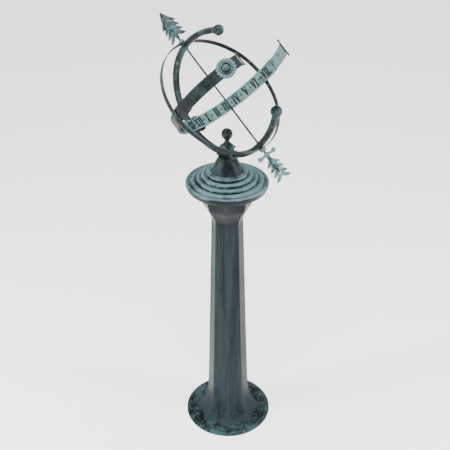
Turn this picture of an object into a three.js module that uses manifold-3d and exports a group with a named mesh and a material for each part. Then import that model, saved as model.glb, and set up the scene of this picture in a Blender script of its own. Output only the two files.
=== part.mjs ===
// Armillary sphere sundial on a cast pedestal. Millimetres, +Z up.
// The origin is the centre of the underside; -X is north, +Y is east.
import * as THREE from 'three';
import { mergeVertices } from 'three/addons/utils/BufferGeometryUtils.js';
import Module from 'manifold-3d';

const wasm = await Module();
wasm.setup();

// ---------------------------------------------------------------- driving dimensions
const GAP = 0.3;                      // clearance between pieces that touch
const DEG = Math.PI / 180;

// pedestal
const BASE_RADIUS = 111.7;
const BASE_TOP = 6.5;                 // height of the dish where the column stands
const PLATE_RADIUS = 70;
const PLATE_THICKNESS = 3;
const COLUMN_TOP = 682;
const COLUMN_TWIST = -6.5 * DEG;       // corners of the column against the meridian
const COLUMN_WALL = 7;
const CAP_RIM_RADIUS = 95;
const CAP_RIM_HEIGHT = 700;
const CAP_TOP = 729.5;
const NECK_TOP = 758;
const TIE_ROD_RADIUS = 4.9;
const STUD_RADIUS = 3;

// sphere
const LATITUDE = 39.5 * DEG;          // height of the arrow above the horizon
const CENTRE = new THREE.Vector3(-13.5, 0, 903.6);
const MERIDIAN_RADIUS = 134;
const MERIDIAN_DEPTH = 13;            // radial size of the bar
const MERIDIAN_WIDTH = 11.5;
const NORTH_END = 134 * DEG;          // ends of the meridian ring, from noon towards the north pole
const SOUTH_END = -128 * DEG;
const NORTH_FLARE = 6.5;              // how far each end opens outwards
const SOUTH_FLARE = 12;
const TILT_RANGE = 5 * DEG;           // latitude correction each way
const COLURE_RADIUS = 142;
const COLURE_DEPTH = 2.2;
const COLURE_WIDTH = 10.4;
const BAND_RADIUS = 140.9;
const BAND_OFFSET = -32.9;            // centre of the band, away from noon
const BAND_DEPTH = 4;
const BAND_WIDTH = 28.5;
const PANEL_END = 95 * DEG;           // the numeral panel runs this far each side of noon
const WEST_END = 152 * DEG;
const EAST_END = -127 * DEG;
const WEST_BAR_HALF_LENGTH = 15.5;
const EAST_BAR_HALF_LENGTH = 21.5;
const TONGUE_WIDTH = 25.5;
const RIM_WIDTH = 2.2;
const RIM_RISE = 1.2;
const ROSETTE_RADIUS = 21;
const ROSETTE_ANGLE = 139.5 * DEG;

// arrow
const ROD_RADIUS = 2.2;
const HEAD_TIP = 228;
const HEAD_HALF_WIDTH = 24.5;
const HEAD_ROLL = 18 * DEG;           // turn of the flat arrowhead about the rod, from noon to west
const TAIL_END = 222;
const TAIL_HALF_WIDTH = 19;
const TAIL_ROLL = 36 * DEG;
const BAR_POSITION = 159;             // scroll bar, behind the centre
const BAR_HALF_LENGTH = 21.5;

// ---------------------------------------------------------------- materials
const finishes = {
  castDark: { color: 0x2f3f42, roughness: 0.5, metalness: 0.6 },
  castTeal: { color: 0x6f8c90, roughness: 0.6, metalness: 0.4 },
  ringDark: { color: 0x2a3639, roughness: 0.45, metalness: 0.7 },
  ringTeal: { color: 0x5c7c7c, roughness: 0.55, metalness: 0.5 },
  steel: { color: 0x8a8d8f, roughness: 0.35, metalness: 0.9 },
};

function piece(name, geometry, finish, parent) {
  const mesh = new THREE.Mesh(geometry, new THREE.MeshStandardMaterial(finishes[finish]));
  mesh.name = name;
  parent.add(mesh);
  return mesh;
}

// ---------------------------------------------------------------- joining and cutting
function solid(geometry) {
  const bare = geometry.clone();
  bare.deleteAttribute('normal');
  bare.deleteAttribute('uv');
  const merged = mergeVertices(bare, 1e-4);
  const mesh = new wasm.Mesh({
    numProp: 3,
    vertProperties: new Float32Array(merged.attributes.position.array),
    triVerts: new Uint32Array(merged.index.array),
  });
  return new wasm.Manifold(mesh);
}

function toGeometry(body) {
  const mesh = body.getMesh();
  const geometry = new THREE.BufferGeometry();
  geometry.setAttribute('position', new THREE.BufferAttribute(new Float32Array(mesh.vertProperties), 3));
  geometry.setIndex(new THREE.BufferAttribute(new Uint32Array(mesh.triVerts), 1));
  geometry.computeVertexNormals();
  return geometry;
}

function join(...geometries) {
  return toGeometry(geometries.map(solid).reduce((a, b) => a.add(b)));
}

function cut(geometry, ...tools) {
  return toGeometry(tools.map(solid).reduce((a, b) => a.subtract(b), solid(geometry)));
}

function overlap(a, b) {
  return toGeometry(solid(a).intersect(solid(b)));
}

// ---------------------------------------------------------------- shapes
const outline = (points) => points.map(([x, y]) => new THREE.Vector2(x, y));

// A profile of (radius, height) points turned about Z. A profile off the axis closes on itself.
function turned(points, sides = 24) {
  const profile = outline(points);
  if (points[0][0] > 0) profile.push(profile[0].clone());
  return new THREE.LatheGeometry(profile, sides).rotateX(Math.PI / 2);
}

// A cylinder about Z between two heights.
function cylinder(radius, low, high, sides = 16) {
  const height = high - low;
  return new THREE.CylinderGeometry(radius, radius, height, sides)
    .rotateX(Math.PI / 2)
    .translate(0, 0, (low + high) / 2);
}

function hexagon(flats, low, high) {
  return cylinder(flats / Math.sqrt(3), low, high, 6);
}

// A cylinder about Y, centred on the XZ plane.
function crossCylinder(radius, length, sides = 144) {
  return new THREE.CylinderGeometry(radius, radius, length, sides);
}

// A flat bar bent in an arc in the XY plane: a radius for each angle, and a width along Z.
function bentBar(radiusAt, depth, width, start, end, steps) {
  const points = [];
  for (let side = 0; side < 2; side += 1) {
    for (let i = 0; i <= steps; i += 1) {
      const t = side === 0 ? i / steps : 1 - i / steps;
      const angle = start + (end - start) * t;
      const radius = radiusAt(angle) + (side === 0 ? depth / 2 : -depth / 2);
      points.push([radius * Math.cos(angle), radius * Math.sin(angle)]);
    }
  }
  return new THREE.ExtrudeGeometry(new THREE.Shape(outline(points)), {
    depth: width,
    bevelEnabled: false,
  }).translate(0, 0, -width / 2);
}

// A solid skinned over rings of equal point counts, from the lowest ring to the highest.
function lofted(rings) {
  const count = rings[0].length;
  const positions = rings.flat(2);
  const index = [];
  for (let r = 0; r + 1 < rings.length; r += 1) {
    for (let i = 0; i < count; i += 1) {
      const a = r * count + i;
      const b = r * count + ((i + 1) % count);
      index.push(a, b, b + count, a, b + count, a + count);
    }
  }
  [0, rings.length - 1].forEach((r) => {
    const ring = rings[r];
    const centre = positions.length / 3;
    positions.push(0, 0, ring[0][2]);
    for (let i = 0; i < count; i += 1) {
      const a = r * count + i;
      const b = r * count + ((i + 1) % count);
      index.push(...(r === 0 ? [centre, b, a] : [centre, a, b]));
    }
  });
  const geometry = new THREE.BufferGeometry();
  geometry.setAttribute('position', new THREE.Float32BufferAttribute(positions, 3));
  geometry.setIndex(index);
  return geometry;
}

// ---------------------------------------------------------------- pedestal
function baseCasting() {
  const rim = BASE_RADIUS;
  return turned([
    [11, PLATE_THICKNESS + GAP], [PLATE_RADIUS + 2, PLATE_THICKNESS + GAP],
    [PLATE_RADIUS + 2, 1], [rim - 10, 1], [rim - 8, 0], [rim, 0], [rim, 1.8],
    [rim - 5, 3.4], [rim - 9, 4.4], [rim - 10, 4.1], [rim - 11, 5],
    [rim - 15, 6], [rim - 25, BASE_TOP], [11, BASE_TOP],
  ], 40);
}

function anchorPlate() {
  return cylinder(PLATE_RADIUS, 0, PLATE_THICKNESS, 36);
}

function anchorNut() {
  return cut(hexagon(17, PLATE_THICKNESS + GAP, 15), cylinder(TIE_ROD_RADIUS + GAP, 0, 20));
}

// Radius over the corners of the column at a height: a long taper, a flared foot and a bell at the top.
function columnRadius(height) {
  const shaft = 54.5 - 17 * (height / 590);
  const foot = 34 * Math.exp(-(height - BASE_TOP) / 21);
  const bell = 17 * THREE.MathUtils.smoothstep(height, 600, 645) + 0.28 * Math.max(0, height - 630);
  return shaft + foot + bell;
}

// The eight sides hollow a little between the corners where the column flares.
function columnSection(height, inset) {
  const flare = Math.exp(-(height - BASE_TOP) / 25) + 0.5 * THREE.MathUtils.smoothstep(height, 600, 645);
  const ring = [];
  for (let k = 0; k < 16; k += 1) {
    const corner = k % 2 === 0 ? 1 : Math.cos(Math.PI / 8) * (1 - 0.09 * flare);
    const radius = Math.min(columnRadius(height) - inset, inset > 0 ? 48 : 200) * corner;
    const angle = COLUMN_TWIST + (k * Math.PI) / 8;
    ring.push([radius * Math.cos(angle), radius * Math.sin(angle), height]);
  }
  return ring;
}

function columnShaft() {
  const foot = BASE_TOP + GAP;
  const heights = [];
  for (let i = 0; i < 7; i += 1) heights.push(foot + 90 * (i / 7) ** 1.5);
  for (let i = 0; i < 4; i += 1) heights.push(foot + 90 + (COLUMN_TOP - 190) * (i / 4));
  for (let i = 7; i >= 0; i -= 1) heights.push(COLUMN_TOP - 90 * (i / 7) ** 1.5);
  const outside = lofted(heights.map((z) => columnSection(z, 0)));
  const inside = [0, 100, 600, COLUMN_TOP + 5].map((z) => columnSection(z, COLUMN_WALL));
  return cut(outside, lofted(inside));
}

function tieRod() {
  return cylinder(TIE_ROD_RADIUS, 4, 744.5);
}

// Three rounded steps, a broad outer band and a lip, over a hollow underside with a seat for the column.
function capCasting() {
  const rim = CAP_RIM_RADIUS;
  const profile = [[6, CAP_TOP], [38, CAP_TOP]];
  const steps = [
    { edge: 48.2, top: 726.5, foot: 719.5 },
    { edge: 59.4, top: 720.3, foot: 712 },
    { edge: 70.6, top: 713, foot: 704.6 },
    { edge: 85.2, top: 707, foot: 702.2 },
  ];
  steps.forEach(({ edge, top, foot }) => {
    const round = (top - foot) * 0.7;
    profile.push([edge - 2 * round, top], [edge - round * 0.4, top - round * 0.4], [edge, foot], [edge + 0.7, foot]);
  });
  profile.push([rim - 7, 703.4], [rim - 3, 703], [rim, CAP_RIM_HEIGHT], [rim, 698], [rim - 2.5, 689], [rim - 4, 687.5]);
  const seat = COLUMN_TOP + GAP;
  profile.push([82, 691], [69, 692], [68, seat], [45, seat], [40, 690], [20, 718], [6, 718]);
  return turned(profile.reverse(), 40);
}

function capWasher() {
  return turned([[6, CAP_TOP + GAP], [12, CAP_TOP + GAP], [12, CAP_TOP + 2.3], [6, CAP_TOP + 2.3]], 24);
}

function couplingNut() {
  const low = CAP_TOP + 2.6;
  return cut(
    hexagon(17, low, 753),
    cylinder(TIE_ROD_RADIUS + GAP, low - 5, 744.8),
    cylinder(STUD_RADIUS + GAP, 744.8 - 1, 760),
  );
}

function neckCasting() {
  const foot = CAP_TOP + GAP;
  return turned([
    [31, foot], [38.2, foot], [38.2, foot + 1.6], [35.8, foot + 4.5], [32.6, foot + 9],
    [29.6, foot + 14.5], [27, foot + 19.5], [24.8, foot + 24], [23, NECK_TOP - 1],
    [22, NECK_TOP], [STUD_RADIUS + GAP, NECK_TOP], [STUD_RADIUS + GAP, NECK_TOP - 4],
    [14, NECK_TOP - 5], [18, foot + 14],
  ], 24);
}

function mountingStud() {
  return cylinder(STUD_RADIUS, 745, 811);
}

// ---------------------------------------------------------------- saddle and finial
// Both are cut to circles about the sphere's centre, so the meridian ring slides between them.
function ringSaddle() {
  const ringOutside = crossCylinder(MERIDIAN_RADIUS + MERIDIAN_DEPTH / 2 + GAP, 60)
    .translate(CENTRE.x, 0, CENTRE.z);
  const bore = cylinder(STUD_RADIUS + GAP, NECK_TOP, 800);
  return cut(cylinder(20.5, NECK_TOP + GAP, 771, 36), ringOutside, bore);
}

function saddleWasher() {
  const ringInside = crossCylinder(MERIDIAN_RADIUS - MERIDIAN_DEPTH / 2 - GAP, 60)
    .translate(CENTRE.x, 0, CENTRE.z);
  const blank = cut(cylinder(11.5, 776, 783), cylinder(STUD_RADIUS + GAP, 770, 790));
  return overlap(blank, ringInside);
}

// Eight leaves round a hub.
function rosetteNut() {
  const points = [];
  for (let i = 0; i < 40; i += 1) {
    const angle = (i / 40) * 2 * Math.PI;
    const radius = 17.2 + 2.8 * Math.cos(8 * angle);
    points.push([radius * Math.cos(angle), radius * Math.sin(angle)]);
  }
  const leaves = new THREE.ExtrudeGeometry(new THREE.Shape(outline(points)), {
    depth: 5, bevelEnabled: false,
  }).translate(0, 0, 784.8);
  const hub = turned([[0, 783.3], [12, 783.3], [14, 787], [13.5, 791], [10, 795], [6, 798], [0, 798]], 20);
  return cut(join(leaves, hub), cylinder(STUD_RADIUS + GAP, 780, 800));
}

function finialBall() {
  const ball = new THREE.SphereGeometry(13, 16, 10).rotateX(Math.PI / 2).translate(0, 0, 818);
  const stem = turned([[0, 798.3], [6.4, 798.3], [6.4, 800], [5.4, 802], [6, 807], [0, 810]], 24);
  return cut(join(ball, stem), cylinder(STUD_RADIUS + GAP, 790, 812));
}

// ---------------------------------------------------------------- rings
// In the sphere's own frame X points at noon, Z at the north pole and Y west.
function meridianRadius(angle) {
  const past = Math.max(0, Math.abs(angle) - Math.PI / 2) / (45 * DEG);
  return MERIDIAN_RADIUS + (angle > 0 ? NORTH_FLARE : SOUTH_FLARE) * past ** 1.6;
}

// Turns a bar bent in XY so that it lies in XZ.
const upright = (geometry) => geometry.rotateX(Math.PI / 2);

function meridianRing() {
  const bar = upright(bentBar(meridianRadius, MERIDIAN_DEPTH, MERIDIAN_WIDTH, SOUTH_END, NORTH_END, 48));
  const seatAngle = -LATITUDE + Math.asin(CENTRE.x / MERIDIAN_RADIUS);
  const padHalf = 9.5 * DEG;
  const pad = upright(bentBar(
    () => MERIDIAN_RADIUS, MERIDIAN_DEPTH, 20, seatAngle - padHalf, seatAngle + padHalf, 8,
  ));
  const slotHalf = TILT_RANGE + 2 * DEG;
  const slot = upright(bentBar(
    () => MERIDIAN_RADIUS, MERIDIAN_DEPTH + 20, 2 * STUD_RADIUS + 1.6,
    seatAngle - slotHalf, seatAngle + slotHalf, 8,
  ));
  const poleHole = cylinder(3.9, -200, 200, 20);
  const noonHole = cylinder(2.3, 100, 200, 16).rotateY(Math.PI / 2);
  return cut(join(bar, pad), slot, poleHole, noonHole);
}

// A ball with a pocket for the end of the bar.
function endBall(radius, end) {
  const sense = Math.sign(end);
  const centreAngle = end + sense * 3 * DEG;
  const distance = meridianRadius(centreAngle);
  const ball = new THREE.SphereGeometry(radius, 16, 10)
    .translate(distance * Math.cos(centreAngle), 0, distance * Math.sin(centreAngle));
  const pocket = upright(bentBar(
    meridianRadius, MERIDIAN_DEPTH + 2 * GAP, MERIDIAN_WIDTH + 2 * GAP,
    Math.min(end - sense * 30 * DEG, end + sense * 0.2 * DEG),
    Math.max(end - sense * 30 * DEG, end + sense * 0.2 * DEG), 10,
  ));
  return cut(ball, pocket);
}

function colureRing() {
  const ring = new THREE.Shape().absarc(0, 0, COLURE_RADIUS + COLURE_DEPTH / 2, 0, 2 * Math.PI);
  const hole = new THREE.Path().absarc(0, 0, COLURE_RADIUS - COLURE_DEPTH / 2, 0, 2 * Math.PI, true);
  ring.holes.push(hole);
  const bar = new THREE.ExtrudeGeometry(ring, {
    depth: COLURE_WIDTH, bevelEnabled: false, curveSegments: 56,
  }).translate(0, 0, -COLURE_WIDTH / 2).rotateY(Math.PI / 2);
  const rivetHoles = cylinder(2.3, -200, 200, 16).rotateX(Math.PI / 2);
  return cut(bar, cylinder(3.9, -200, 200, 20), rivetHoles);
}

function equatorialBand() {
  const parts = [
    bentBar(() => BAND_RADIUS, BAND_DEPTH, BAND_WIDTH, -PANEL_END, PANEL_END, 36),
    bentBar(() => BAND_RADIUS, BAND_DEPTH, TONGUE_WIDTH, PANEL_END - 2 * DEG, WEST_END, 14),
    bentBar(() => BAND_RADIUS, BAND_DEPTH, TONGUE_WIDTH, EAST_END, 2 * DEG - PANEL_END, 9),
  ];
  [-1, 1].forEach((side) => {
    const inner = BAND_RADIUS - BAND_DEPTH / 2 - RIM_RISE / 2;
    parts.push(bentBar(() => inner, RIM_RISE + 0.4, RIM_WIDTH, -PANEL_END, PANEL_END, 36)
      .translate(0, 0, (side * (BAND_WIDTH - RIM_WIDTH)) / 2));
  });
  const band = join(...parts).translate(BAND_OFFSET, 0, 0);
  const rivetHoles = cylinder(2.3, -200, 200, 16).rotateX(Math.PI / 2);
  const rosetteHole = onBand(cylinder(2.1, 100, 170, 16), ROSETTE_ANGLE);
  return cut(band, rivetHoles, rosetteHole);
}

// Takes a shape made about Z, with Z as its distance from the band's centre, out to an angle.
function onBand(geometry, angle) {
  return geometry.rotateY(Math.PI / 2).rotateZ(angle).translate(BAND_OFFSET, 0, 0);
}

function endBar(angle, halfLength) {
  const knob = halfLength - 2.5;
  const bar = join(
    cylinder(1.7, -knob, knob, 10),
    new THREE.SphereGeometry(2.5, 10, 6).translate(0, 0, knob),
    new THREE.SphereGeometry(2.5, 10, 6).translate(0, 0, -knob),
  );
  const beyond = Math.sign(angle) * ((2.5 + GAP) / BAND_RADIUS);
  const at = angle + beyond;
  return bar.translate(BAND_OFFSET + BAND_RADIUS * Math.cos(at), BAND_RADIUS * Math.sin(at), 0);
}

// A dished disc with a raised ring and a boss, standing on a given height.
function rosetteProfile(seat) {
  const edge = ROSETTE_RADIUS;
  return [
    [0, seat], [edge, seat], [edge, seat + 2], [edge - 3, seat + 3.6], [edge - 7, seat + 3],
    [edge - 9.5, seat + 4.8], [edge - 12, seat + 4.4], [7, seat + 3], [6.2, seat + 5.6],
    [4, seat + 6.6], [0, seat + 7],
  ];
}

function westRosette() {
  const seat = BAND_RADIUS + BAND_DEPTH / 2 + GAP;
  const disc = cut(turned(rosetteProfile(seat), 24), cylinder(2.1, seat - 2, seat + 4, 16));
  return onBand(disc, ROSETTE_ANGLE);
}

function westRosetteScrew() {
  const inner = BAND_RADIUS - BAND_DEPTH / 2 - GAP;
  const screw = turned([[0, inner - 1.8], [3, inner - 1.4], [3.4, inner - 0.1],
    [1.8, inner - 0.1], [1.8, inner + 8], [0, inner + 8]], 14);
  return onBand(screw, ROSETTE_ANGLE);
}

const NOON_SEAT = BAND_RADIUS + BAND_DEPTH / 2 + GAP;

function noonRosette() {
  const disc = cut(turned(rosetteProfile(NOON_SEAT), 24), cylinder(2.3, NOON_SEAT + 2, NOON_SEAT + 12, 16));
  return onBand(disc, 0);
}

function noonSpacer() {
  const low = BAND_OFFSET + NOON_SEAT + 7 + GAP;
  const high = MERIDIAN_RADIUS - MERIDIAN_DEPTH / 2 - 0.6;
  return turned([[2.3, low], [5, low], [5, high], [2.3, high]], 24).rotateY(Math.PI / 2);
}

function noonScrew() {
  const face = MERIDIAN_RADIUS + MERIDIAN_DEPTH / 2 + GAP;
  const tip = BAND_OFFSET + NOON_SEAT + 2.4;
  return turned([[0, tip], [2, tip], [2, face], [4.8, face], [4.6, face + 1.6], [3, face + 2.8],
    [0, face + 3.2]], 14).rotateY(Math.PI / 2);
}

// A rivet along Y through the band and the colure ring. side is 1 for west and -1 for east.
function rivet(side) {
  const inner = Math.sqrt(BAND_RADIUS ** 2 - BAND_OFFSET ** 2) - BAND_DEPTH / 2 - 1.3;
  const outer = COLURE_RADIUS + COLURE_DEPTH / 2 + GAP;
  return turned([[0, inner - 1.8], [3, inner - 1.2], [3.6, inner], [2, inner], [2, outer],
    [4.2, outer], [3.6, outer + 1.4], [0, outer + 2.2]], 14).rotateX((-side * Math.PI) / 2);
}

// A flanged bush through both rings at a pole, with a cross hole for its set screw.
function poleHub(side) {
  const inner = MERIDIAN_RADIUS - MERIDIAN_DEPTH / 2 - 2;
  const face = COLURE_RADIUS + COLURE_DEPTH / 2 + GAP;
  const bush = turned([
    [ROD_RADIUS + GAP, inner], [3.6, inner], [3.6, face], [7, face], [7.4, face + 1],
    [7.4, face + 5], [5.6, face + 7], [ROD_RADIUS + GAP, face + 7],
  ], 20);
  const screwHole = cylinder(1.75, 0, 12, 12).rotateY(Math.PI / 2).translate(0, 0, face + 3);
  return cut(bush, screwHole).rotateX(side > 0 ? 0 : Math.PI);
}

function setScrew(side) {
  const face = COLURE_RADIUS + COLURE_DEPTH / 2 + GAP;
  return cylinder(1.45, ROD_RADIUS + GAP + 0.1, 7.9, 12)
    .rotateY(Math.PI / 2)
    .translate(0, 0, face + 3)
    .rotateX(side > 0 ? 0 : Math.PI);
}

// ---------------------------------------------------------------- arrow
// A feathered blade in the XZ plane: paired barbs swept back from the front at +Z.
function blade({ front, halfWidth, barbs, pitch, firstTip, notch, spineEnd, spineDepth, thickness }) {
  const side = [];
  for (let k = 0; k < barbs; k += 1) {
    const tip = firstTip - k * pitch;
    const reach = halfWidth * (0.88 + (0.12 * k) / (barbs - 1));
    side.push([reach - 1.2, tip + 1.5], [reach, tip], [reach - 2.4, tip + 0.6]);
    if (k + 1 < barbs) side.push([halfWidth * notch[0], tip + pitch * notch[1]]);
  }
  side.push([halfWidth * 0.3, spineEnd + spineDepth], [4.4, spineEnd]);
  const mirrored = side.map(([x, z]) => [-x, z]).reverse();
  const points = [[0, front], ...side, ...mirrored];
  return new THREE.ExtrudeGeometry(new THREE.Shape(outline(points)), {
    depth: thickness - 1.6, bevelEnabled: true, bevelThickness: 0.8, bevelSize: 0.4,
    bevelOffset: -0.4, bevelSegments: 1,
  }).translate(0, 0, -(thickness - 1.6) / 2).rotateX(Math.PI / 2);
}

function arrowhead() {
  const plate = blade({
    front: HEAD_TIP, halfWidth: HEAD_HALF_WIDTH, barbs: 4, pitch: 12.2, firstTip: HEAD_TIP - 37,
    notch: [0.5, 0.62], spineEnd: 160, spineDepth: 10, thickness: 4.6,
  });
  const socket = turned([[0, 158], [4.2, 158], [4.2, 180], [1.6, 206], [0, 210]], 16);
  return cut(join(plate, socket), cylinder(ROD_RADIUS + GAP, 150, 172)).rotateZ(HEAD_ROLL);
}

function fletching() {
  const front = -168.5;
  const plate = blade({
    front, halfWidth: TAIL_HALF_WIDTH, barbs: 4, pitch: 12, firstTip: 36 - TAIL_END,
    notch: [0.4, 0.54], spineEnd: 15 - TAIL_END, spineDepth: 1, thickness: 4.2,
  });
  const socket = turned([[0, -204], [2, -204], [4.2, -194], [4.2, front], [0, front]], 16);
  return cut(join(plate, socket), cylinder(ROD_RADIUS + GAP, -188, front + 5))
    .rotateZ(TAIL_ROLL);
}

function gnomonRod() {
  return cylinder(ROD_RADIUS, -187.6, 171.6, 20);
}

function scrollBar() {
  const arms = cylinder(2.4, -BAR_HALF_LENGTH, BAR_HALF_LENGTH, 16).rotateY(Math.PI / 2);
  const ends = [-1, 1].map((side) => new THREE.SphereGeometry(4.2, 10, 6)
    .translate(side * (BAR_HALF_LENGTH - 1), 0, 0));
  const boss = cylinder(5, -4.5, 4.5);
  return cut(join(arms, ...ends, boss), cylinder(ROD_RADIUS + GAP, -20, 20))
    .rotateZ(TAIL_ROLL)
    .translate(0, 0, -BAR_POSITION);
}

function binding() {
  return turned([[ROD_RADIUS + GAP, -168], [4.6, -168], [5.2, -166], [4.6, -163.9],
    [ROD_RADIUS + GAP, -163.9]], 16);
}

// ---------------------------------------------------------------- assembly
const sphere = new THREE.Group();
const noon = new THREE.Vector3(-Math.sin(LATITUDE), 0, -Math.cos(LATITUDE));
const pole = new THREE.Vector3(-Math.cos(LATITUDE), 0, Math.sin(LATITUDE));
const west = new THREE.Vector3(0, -1, 0);
sphere.quaternion.setFromRotationMatrix(new THREE.Matrix4().makeBasis(noon, west, pole));
sphere.position.copy(CENTRE);

const sundial = new THREE.Group();

piece('base_casting', baseCasting(), 'castDark', sundial);
piece('anchor_plate', anchorPlate(), 'steel', sundial);
piece('anchor_nut', anchorNut(), 'steel', sundial);
piece('column_shaft', columnShaft(), 'castDark', sundial);
piece('tie_rod', tieRod(), 'steel', sundial);
piece('cap_casting', capCasting(), 'castTeal', sundial);
piece('cap_washer', capWasher(), 'steel', sundial);
piece('coupling_nut', couplingNut(), 'steel', sundial);
piece('neck_casting', neckCasting(), 'castDark', sundial);
piece('mounting_stud', mountingStud(), 'steel', sundial);
piece('ring_saddle', ringSaddle(), 'castDark', sundial);
piece('saddle_washer', saddleWasher(), 'castDark', sundial);
piece('rosette_nut', rosetteNut(), 'castTeal', sundial);
piece('finial_ball', finialBall(), 'castDark', sundial);

piece('meridian_ring', meridianRing(), 'ringDark', sphere);
piece('upper_end_ball', endBall(11.5, NORTH_END), 'ringDark', sphere);
piece('lower_end_ball', endBall(12.5, SOUTH_END), 'ringDark', sphere);
piece('colure_ring', colureRing(), 'ringDark', sphere);
piece('equatorial_band', equatorialBand(), 'ringTeal', sphere);
piece('west_end_bar', endBar(WEST_END, WEST_BAR_HALF_LENGTH), 'ringDark', sphere);
piece('east_end_bar', endBar(EAST_END, EAST_BAR_HALF_LENGTH), 'ringDark', sphere);
piece('west_rosette', westRosette(), 'ringTeal', sphere);
piece('west_rosette_screw', westRosetteScrew(), 'steel', sphere);
piece('noon_rosette', noonRosette(), 'ringDark', sphere);
piece('noon_spacer', noonSpacer(), 'ringDark', sphere);
piece('noon_screw', noonScrew(), 'steel', sphere);
piece('west_rivet', rivet(1), 'ringDark', sphere);
piece('east_rivet', rivet(-1), 'ringDark', sphere);
piece('north_hub', poleHub(1), 'ringTeal', sphere);
piece('south_hub', poleHub(-1), 'ringTeal', sphere);
piece('north_set_screw', setScrew(1), 'steel', sphere);
piece('south_set_screw', setScrew(-1), 'steel', sphere);

piece('gnomon_rod', gnomonRod(), 'ringDark', sphere);
piece('arrowhead', arrowhead(), 'ringDark', sphere);
piece('scroll_bar', scrollBar(), 'ringTeal', sphere);
piece('binding', binding(), 'ringTeal', sphere);
piece('fletching', fletching(), 'ringTeal', sphere);

sundial.add(sphere);

export default sundial;
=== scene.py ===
import math

import bmesh
import bpy
import numpy as np
from mathutils import Matrix, Vector


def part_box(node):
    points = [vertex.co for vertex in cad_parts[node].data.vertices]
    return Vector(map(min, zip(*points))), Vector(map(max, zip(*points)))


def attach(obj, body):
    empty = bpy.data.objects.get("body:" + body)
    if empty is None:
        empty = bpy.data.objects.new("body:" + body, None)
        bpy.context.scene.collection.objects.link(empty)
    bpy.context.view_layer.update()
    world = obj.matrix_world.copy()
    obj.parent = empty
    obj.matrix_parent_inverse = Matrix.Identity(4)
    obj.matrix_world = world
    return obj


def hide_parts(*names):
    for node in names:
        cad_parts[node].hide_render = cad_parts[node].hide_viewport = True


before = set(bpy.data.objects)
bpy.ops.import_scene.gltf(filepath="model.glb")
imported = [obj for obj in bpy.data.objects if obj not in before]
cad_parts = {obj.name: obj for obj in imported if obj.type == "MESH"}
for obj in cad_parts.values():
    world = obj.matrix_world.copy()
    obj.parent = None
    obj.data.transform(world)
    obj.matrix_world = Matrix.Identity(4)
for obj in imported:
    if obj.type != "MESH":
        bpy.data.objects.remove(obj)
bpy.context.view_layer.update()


# ------------------------------------------------------------------ camera and studio
# The camera stands to the south-west of the sundial and looks down at the middle of its column.
# Two tall soft lights and one overhead light the castings from a bright, even surround.
scene = bpy.context.scene
camera_side = math.radians(40.05)
camera_reach = 1.5412
camera_height = 1.5508
camera = bpy.data.objects.new("camera", bpy.data.cameras.new("camera"))
camera.data.lens = 62.21
camera.data.sensor_width = 36
scene.collection.objects.link(camera)
camera.matrix_world = (
    Matrix.Translation((
        camera_reach * math.sin(camera_side), -camera_reach * math.cos(camera_side), camera_height,
    ))
    @ Matrix.Rotation(camera_side + 0.0036, 4, "Z")
    @ Matrix.Rotation(math.radians(90 - 32.117), 4, "X")
    @ Matrix.Rotation(-0.0059, 4, "Z")
)
scene.camera = camera


def soft_light(name, side, height, reach, size, power, aim):
    """A square area light at an angle round the pedestal, turned to face a height on its axis."""
    light = bpy.data.objects.new(name, bpy.data.lights.new(name, "AREA"))
    light.data.shape = "RECTANGLE"
    light.data.size, light.data.size_y = size
    light.data.energy = power
    angle = math.radians(side)
    light.location = (reach * math.sin(angle), -reach * math.cos(angle), height)
    look = Vector((0, 0, aim)) - light.location
    light.rotation_euler = look.to_track_quat("-Z", "Y").to_euler()
    scene.collection.objects.link(light)


soft_light("left_light", -35, 1.3, 1.7, (0.45, 1.5), 52, 0.6)
soft_light("right_light", 112, 1.2, 1.7, (0.35, 1.5), 40, 0.6)
soft_light("top_light", 30, 2.6, 0.9, (0.8, 0.8), 40, 0.8)

surround = bpy.data.worlds.new("surround")
surround.use_nodes = True
surround.node_tree.nodes["Background"].inputs["Color"].default_value = (1, 1, 1, 1)
surround.node_tree.nodes["Background"].inputs["Strength"].default_value = 0.85
scene.world = surround

floor_half = 30
floor_mesh = bpy.data.meshes.new("floor")
floor_mesh.from_pydata(
    [(-floor_half, -floor_half, 0), (floor_half, -floor_half, 0),
     (floor_half, floor_half, 0), (-floor_half, floor_half, 0)], [], [(0, 1, 2, 3)])
floor = bpy.data.objects.new("floor", floor_mesh)
floor_paint = bpy.data.materials.new("floor_paint")
floor_paint.use_nodes = True
floor_paint.node_tree.nodes["Principled BSDF"].inputs["Base Color"].default_value = (0.93, 0.93, 0.93, 1)
floor_paint.node_tree.nodes["Principled BSDF"].inputs["Roughness"].default_value = 0.9
floor_paint.node_tree.nodes["Principled BSDF"].inputs["Emission Color"].default_value = (1, 1, 1, 1)
floor_paint.node_tree.nodes["Principled BSDF"].inputs["Emission Strength"].default_value = 1.3
floor_mesh.materials.append(floor_paint)
scene.collection.objects.link(floor)


# ------------------------------------------------------------------ base casting
# A shallow cast-iron dish that stands on the ground, with fine turned rings inside its rim.
# It is painted near black, washed with verdigris and rubbed back; the tie rod passes its middle.
mm = 0.001


def rounded(corners, steps=4):
    """Corners (x, y, size) of a closed outline, each eased by an arc that starts size away from it."""
    outline = []
    for i, (x, y, size) in enumerate(corners):
        here = np.array((x, y), float)
        if size == 0:
            outline.append(here)
            continue
        back = np.array(corners[i - 1][:2], float) - here
        on = np.array(corners[(i + 1) % len(corners)][:2], float) - here
        start = here + back * min(size / np.linalg.norm(back), 0.48)
        end = here + on * min(size / np.linalg.norm(on), 0.48)
        for k in range(steps + 1):
            t = k / steps
            outline.append((1 - t) ** 2 * start + 2 * t * (1 - t) * here + t * t * end)
    return np.array(outline)


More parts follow.
